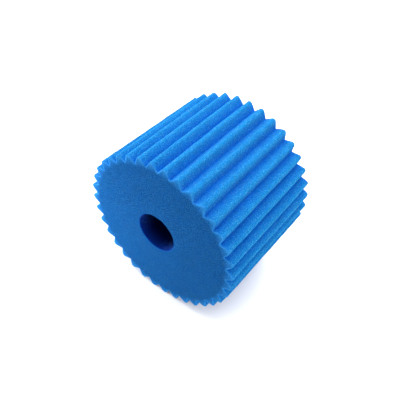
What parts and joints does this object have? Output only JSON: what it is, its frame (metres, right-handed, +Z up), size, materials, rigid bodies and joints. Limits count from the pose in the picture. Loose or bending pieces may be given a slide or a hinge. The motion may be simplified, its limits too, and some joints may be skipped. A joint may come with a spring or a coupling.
{
  "type": "sponge filter cartridge",
  "caption": "Fluted cylinder of blue open-cell foam with a through bore, a reusable water filter cartridge.",
  "frame": {"origin": "on the surface that the cartridge lies on, straight below the middle of its bore", "axes": "+Y along the bore, from the front end face to the back one; +Z up; +X to the right, seen from the front"},
  "size_m": [0.1056, 0.08, 0.1056],
  "materials": {
    "filter_foam": "matte"
  },
  "bodies": {
    "root": {"foam_cartridge": "filter_foam"}
  },
  "joints": []
}
